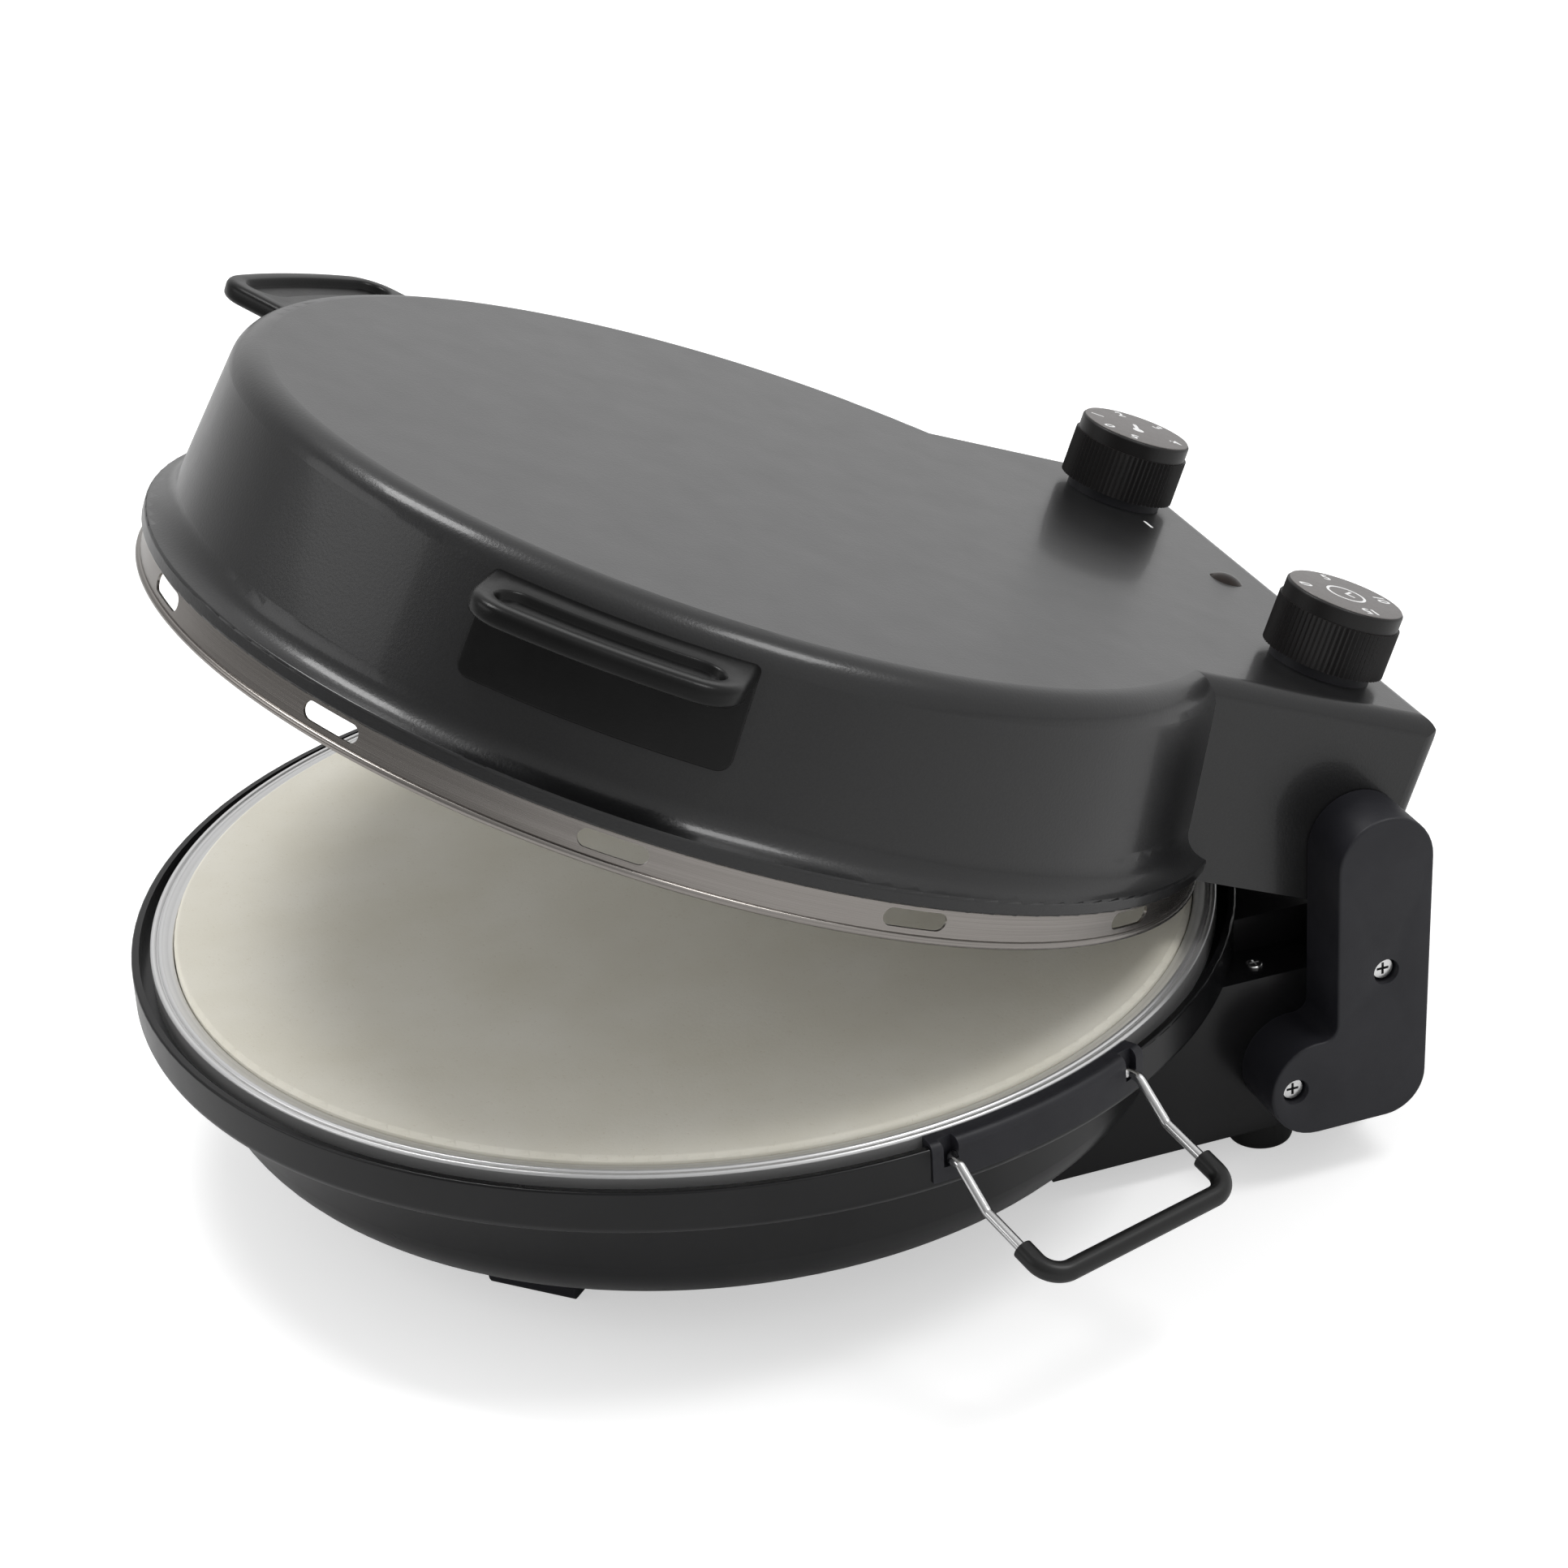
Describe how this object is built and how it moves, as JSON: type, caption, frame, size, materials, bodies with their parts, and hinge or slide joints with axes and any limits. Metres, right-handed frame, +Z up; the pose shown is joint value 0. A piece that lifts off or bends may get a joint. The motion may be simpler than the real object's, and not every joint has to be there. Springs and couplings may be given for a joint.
{
  "type": "electric pizza maker",
  "caption": "Countertop electric pizza maker: round stone in a black bowl under a hinged bell-shaped lid with dials, side grips and wire carrying bails.",
  "frame": {"origin": "on the table plane under the middle of the round stone", "axes": "+Z up, -Y the front where the lid opens, +Y the hinge, +X the right-hand side seen from the front"},
  "size_m": [0.415, 0.3719, 0.2612],
  "materials": {
    "lid_paint": "satin charcoal lacquer with a fine metallic sparkle",
    "shell_black": "black moulding with a fine grain",
    "moulding_dark": "dark grey-black moulding, satin",
    "ring_steel": "brushed round the ring",
    "rim_steel": "rolled stainless, polished ridges",
    "wire_steel": "polished stainless wire",
    "screw_steel": "zinc-plated screw heads and turned pins",
    "liner_metal": "plain rolled sheet",
    "element_sheath": "dull oxidised sheath",
    "stone": "unglazed cream fireclay with fine specks",
    "white_ceramic": "plain ceramic body",
    "white_plastic": "plain natural moulding",
    "rubber_black": "black rubber",
    "knob_black": "satin black with fine upright ribs",
    "knob_face": "grey disc with white numbers",
    "lens_amber": "dark translucent lens"
  },
  "bodies": {
    "base": {"base_shell": "shell_black", "base_bottom_cover": "shell_black", "bottom_cover_screws": "screw_steel", "steel_rim": "rim_steel", "pizza_stone": "stone", "lower_element": "element_sheath", "lower_element_clips": "liner_metal", "thermal_cutout": "white_ceramic", "terminal_block": "white_plastic", "cord_inlet": "rubber_black", "front_feet": "moulding_dark", "rear_feet": "rubber_black", "handle_bridge_right": "moulding_dark", "handle_bridge_left": "moulding_dark", "bridge_screws": "screw_steel", "hinge_cover_right": "moulding_dark", "hinge_cover_left": "moulding_dark", "hinge_cover_screws": "screw_steel", "hinge_pins": "screw_steel"},
    "lid": {"lid_shell": "lid_paint", "lid_ring": "ring_steel", "upper_reflector": "liner_metal", "upper_element": "element_sheath", "upper_element_clips": "liner_metal", "lid_box_cover": "shell_black", "lid_box_screws": "screw_steel", "heat_control": "white_plastic", "time_control": "white_plastic", "knob_collars": "moulding_dark", "indicator_lens": "lens_amber", "indicator_lamp": "lens_amber", "lid_handle_right": "moulding_dark", "lid_handle_left": "moulding_dark", "lid_handle_screws": "screw_steel"},
    "timer_dial": {"timer_knob": "knob_black", "timer_knob_cap": "knob_face", "timer_shaft": "screw_steel"},
    "heat_dial": {"heat_knob": "knob_black", "heat_knob_cap": "knob_face", "heat_shaft": "screw_steel"},
    "right_bail": {"carry_bail_right": "wire_steel", "bail_sleeve_right": "rubber_black"},
    "left_bail": {"carry_bail_left": "wire_steel", "bail_sleeve_left": "rubber_black"}
  },
  "joints": [
    {"name": "lid_hinge", "type": "hinge", "parent": "base", "child": "lid", "pos_m": [0, 0.163, 0.1045], "axis": [-1, 0, 0], "range_deg": [-22.5, 72.5]},
    {"name": "timer_turn", "type": "hinge", "parent": "lid", "child": "timer_dial", "pos_m": [0.0721, 0.1787, 0.14292], "axis": [0, -0.3827, -0.9239], "range_deg": [0, 300]},
    {"name": "heat_turn", "type": "hinge", "parent": "lid", "child": "heat_dial", "pos_m": [-0.0721, 0.1787, 0.14292], "axis": [0, -0.3827, -0.9239], "range_deg": [0, 270]},
    {"name": "right_bail_swing", "type": "hinge", "parent": "base", "child": "right_bail", "pos_m": [0.15631, 0.04929, 0.0695], "axis": [0.3007, -0.9537, 0], "range_deg": [0, 85]},
    {"name": "left_bail_swing", "type": "hinge", "parent": "base", "child": "left_bail", "pos_m": [-0.15631, 0.04929, 0.0695], "axis": [0.3007, 0.9537, 0], "range_deg": [0, 85]}
  ]
}
